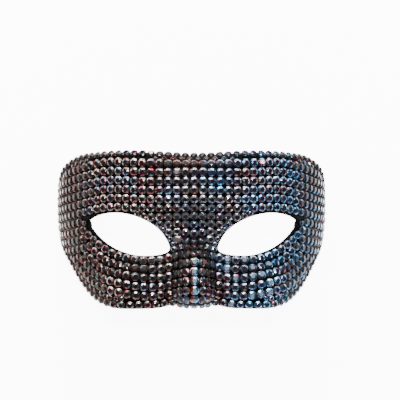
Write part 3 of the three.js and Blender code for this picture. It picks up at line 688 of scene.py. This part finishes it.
def rhinestone():
    """Foil-backed glass. A crown facet is a mirror with a painted highlight towards the brow and painted
    shade towards the chin, more or less so by chance. The bright tint is cream on the left of the mask and
    ice blue on the right, the dark one maroon, brown or teal, and this split is a painted reflection of warm
    light from the left and cool light from the right. The table is the darkest facet."""
    material, finish, node = new_material("rhinestone")

    def ramp(value, tints):
        made = node("ShaderNodeValToRGB", {"Fac": value})
        while len(made.color_ramp.elements) < len(tints):
            made.color_ramp.elements.new(0.5)
        for element, (at, color) in zip(made.color_ramp.elements, tints.items()):
            element.position = at
            element.color = (*color, 1)
        return made.outputs["Color"]

    def calc(operation, a, b=0.0, c=0.0):
        return node("ShaderNodeMath", {0: a, 1: b, 2: c}, operation=operation).outputs[0]

    def add_times(a, b, c):
        return calc("MULTIPLY_ADD", a, b, c)

    def times(a, b):
        return calc("MULTIPLY", a, b)

    def minus(a, b):
        return calc("SUBTRACT", a, b)

    def above(a, b):
        return calc("GREATER_THAN", a, b)

    def below(a, b):
        return calc("LESS_THAN", a, b)

    def at_least_0(value):
        return calc("MAXIMUM", value, 0.0)

    def clamp(value):
        return node("ShaderNodeClamp", {"Value": value}).outputs[0]

    def mix(share, a, b):
        return node("ShaderNodeMix", {"Factor": share, "A": a, "B": b}, data_type="RGBA").outputs["Result"]

    cut, chance, stone, rise, lean = (
        node("ShaderNodeAttribute", {}, attribute_name=name).outputs["Fac"]
        for name in ("cut", "chance", "stone", "rise", "lean")
    )
    place = node("ShaderNodeTexCoord", {}).outputs["Object"]
    where = node("ShaderNodeSeparateXYZ", {"Vector": place}).outputs
    normal = node("ShaderNodeNewGeometry", {}).outputs["True Normal"]
    facing = node("ShaderNodeSeparateXYZ", {"Vector": normal}).outputs
    is_table = below(cut, (TABLE + CROWN) / 2)
    is_girdle = above(cut, (CROWN + GIRDLE) / 2)

    # from left (0) to right (1): X times a sharpness, which grows towards the chin, plus a drift that lets
    # the two sides meet in patches. It moves the painted reflection from warm light on the left to cool
    # light on the right.
    noise = node("ShaderNodeTexNoise", {"Vector": place, "Scale": TO_RIGHT.scale, "Detail": 1})
    chinward = at_least_0(times(where["Y"], -1.0))
    sharp = add_times(chinward, TO_RIGHT.sharper, TO_RIGHT.sharp)
    drift = add_times(noise.outputs["Fac"], TO_RIGHT.drift, TO_RIGHT.back)
    to_right = clamp(add_times(where["X"], sharp, drift))

    # tone: which tint a facet takes, the fraction of its own chance times the spread plus its stone's
    tone = calc("FRACT", add_times(chance, TONE_SPREAD, stone))
    bright = mix(to_right, ramp(tone, CREAM), ramp(tone, ICE))
    dark = mix(to_right, ramp(tone, EMBER), ramp(tone, DEEP))

    # How much of the bright tint shows, as a power: this is painted light. It adds up a painted highlight
    # for rise and a share for chance, takes off painted shade where a facet or the face looks away from
    # above, and adds painted light between the eyes and on the right cheek
    low = at_least_0(minus(SIDEWAYS_SHADE.under, facing["Z"]))
    # painted light, fading out from a point between the eyes
    middle = BETWEEN_EYES.at
    from_eyes = node("ShaderNodeVectorMath", {0: place, 1: middle}, operation="DISTANCE").outputs["Value"]
    between_eyes = at_least_0(add_times(from_eyes, BETWEEN_EYES.fade, BETWEEN_EYES.share))
    painted_light = add_times(rise, PAINTED_LIGHT.rise, add_times(chance, PAINTED_LIGHT.chance, PAINTED_LIGHT.base))
    painted_light = calc("ADD", add_times(low, PAINTED_LIGHT.low, painted_light), between_eyes)
    painted_light = add_times(minus(lean, 1.0), PAINTED_LIGHT.lean, painted_light)
    # painted light on the right cheek, growing towards the chin
    painted_light = clamp(add_times(times(to_right, chinward), PAINTED_LIGHT.cheek, painted_light))
    color = mix(calc("POWER", painted_light, PAINTED_LIGHT.power), dark, bright)

    # painted shade in dark brown on facets that look sideways, and on all facets on the sides of the mask,
    # more on those that face the brow; a few facets stay as red sparks
    color = mix(clamp(times(low, SIDEWAYS_SHADE.brown)), color, SIDEWAYS_PAINTED_SHADE)
    shade = times(minus(1.0, lean), add_times(at_least_0(facing["Y"]), SIDE_SHADE.brow, SIDE_SHADE.all_facets))
    color = mix(clamp(shade), color, SIDE_PAINTED_SHADE)
    color = mix(times(above(stone, SPARK.stone), above(chance, SPARK.chance)), color, RED_SPARK)

    # tables: dark, but some under the right eye get a pale painted reflection, all down the ridge of the
    # nose get a grey painted highlight, where many facets get a painted reflection of warm light on the left
    # and cool light on the right, and a few on the upper half get a white painted glint
    table = mix(to_right, ramp(stone, LEFT_TABLE), ramp(stone, RIGHT_TABLE))
    from_cheek = calc("ABSOLUTE", minus(where["X"], UNDER_EYE.x))
    under_eye = times(below(where["Y"], UNDER_EYE.y), below(from_cheek, UNDER_EYE.half))
    table = mix(times(above(stone, UNDER_EYE.stone), under_eye), table, PALE_PAINTED_REFLECTION)
    ridge = times(below(calc("ABSOLUTE", where["X"]), RIDGE.half), below(where["Y"], RIDGE.y))
    table = mix(ridge, table, RIDGE_PAINTED_HIGHLIGHT)
    ridge_reflection = mix(above(where["X"], 0.0), WARM_PAINTED_REFLECTION, COOL_PAINTED_REFLECTION)
    color = mix(times(ridge, above(chance, RIDGE.chance)), color, ridge_reflection)
    table = mix(times(above(stone, FLASH_STONE), above(where["Y"], 0.0)), table, FLASH_PAINTED_GLINT)
    color = mix(is_girdle, mix(is_table, color, table), GIRDLE_GREY)

    finish({
        "Base Color": color,
        "Metallic": times(minus(1.0, calc("ADD", is_table, is_girdle)), FOIL),
        "Roughness": add_times(is_girdle, GIRDLE_MATT, POLISH),
        "IOR": 1.18,
        "Specular Tint": (0.4, 0.38, 0.36),
    })
    return material


glass = rhinestone()
for seed, (name, places) in enumerate(fill_spots(set_stones()).items()):
    piece = row_of_stones(name + "_set", places, seed)
    piece.data.materials.append(glass)
    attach(piece, "root")
    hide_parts(name)


# Floor: a wide white board that the mask lies on, painted matt.
# It glows evenly, so that it stays white to its edges as the backdrop of a product photo does.
FLOOR_SIZE = 40  # metres
bpy.ops.mesh.primitive_plane_add(size=FLOOR_SIZE, location=(0, 0, 0))
floor = bpy.context.object
floor.name = "floor"
floor_paint, finish, _ = new_material("floor_white")
finish({
    "Base Color": (0.9, 0.9, 0.9),
    "Roughness": 0.7,
    "Emission Color": (1, 1, 1),
    "Emission Strength": 9.0,
})
floor.data.materials.append(floor_paint)


# Light: a strong soft panel low above the brow, a narrow one high over the mask and a weaker one below the
# chin. The room round them is grey, darker towards the ceiling.
AIM = Vector((0, 0, 0.05))
PANELS = {
    "light_brow": Sizes(at=(-0.05, 1.1, 0.75), wide=1.3, high=0.75, watts=68),
    "light_top": Sizes(at=(0, 0.34, 1.25), wide=0.35, high=0.12, watts=20),
    "light_chin": Sizes(at=(0, -1.1, 0.6), wide=1.6, high=0.6, watts=16),
}
for name, sizes in PANELS.items():
    light = bpy.data.lights.new(name, "AREA")
    light.shape = "RECTANGLE"
    light.size = sizes.wide
    light.size_y = sizes.high
    light.energy = sizes.watts
    panel = bpy.data.objects.new(name, light)
    panel.location = sizes.at
    panel.rotation_euler = (AIM - panel.location).to_track_quat("-Z", "Y").to_euler()
    bpy.context.collection.objects.link(panel)

world = bpy.data.worlds.new("room")
world.use_nodes = True
room = world.node_tree
direction = room.nodes.new("ShaderNodeTexCoord").outputs["Generated"]
height = room.nodes.new("ShaderNodeSeparateXYZ")
fade = room.nodes.new("ShaderNodeMapRange")
for key, value in (("From Min", 0.15), ("From Max", 0.75), ("To Min", 1.0), ("To Max", 0.55)):
    fade.inputs[key].default_value = value
room.links.new(direction, height.inputs["Vector"])
room.links.new(height.outputs["Z"], fade.inputs["Value"])
room.links.new(fade.outputs["Result"], room.nodes["Background"].inputs["Strength"])
bpy.context.scene.world = world


# Camera: straight above the mask, about 390 mm from the front of it, turned sideways by a little over one
# degree. Its shift puts the mask where it is in the picture.
camera = bpy.data.objects.new("camera", bpy.data.cameras.new("camera"))
camera.data.lens = 64.3
camera.data.sensor_width = 36
camera.data.shift_x = 0.018
camera.data.shift_y = 0.073
camera.location = (-0.01, 0, 0.462)
camera.rotation_euler = (0, -0.023, 0)
bpy.context.collection.objects.link(camera)
bpy.context.scene.camera = camera
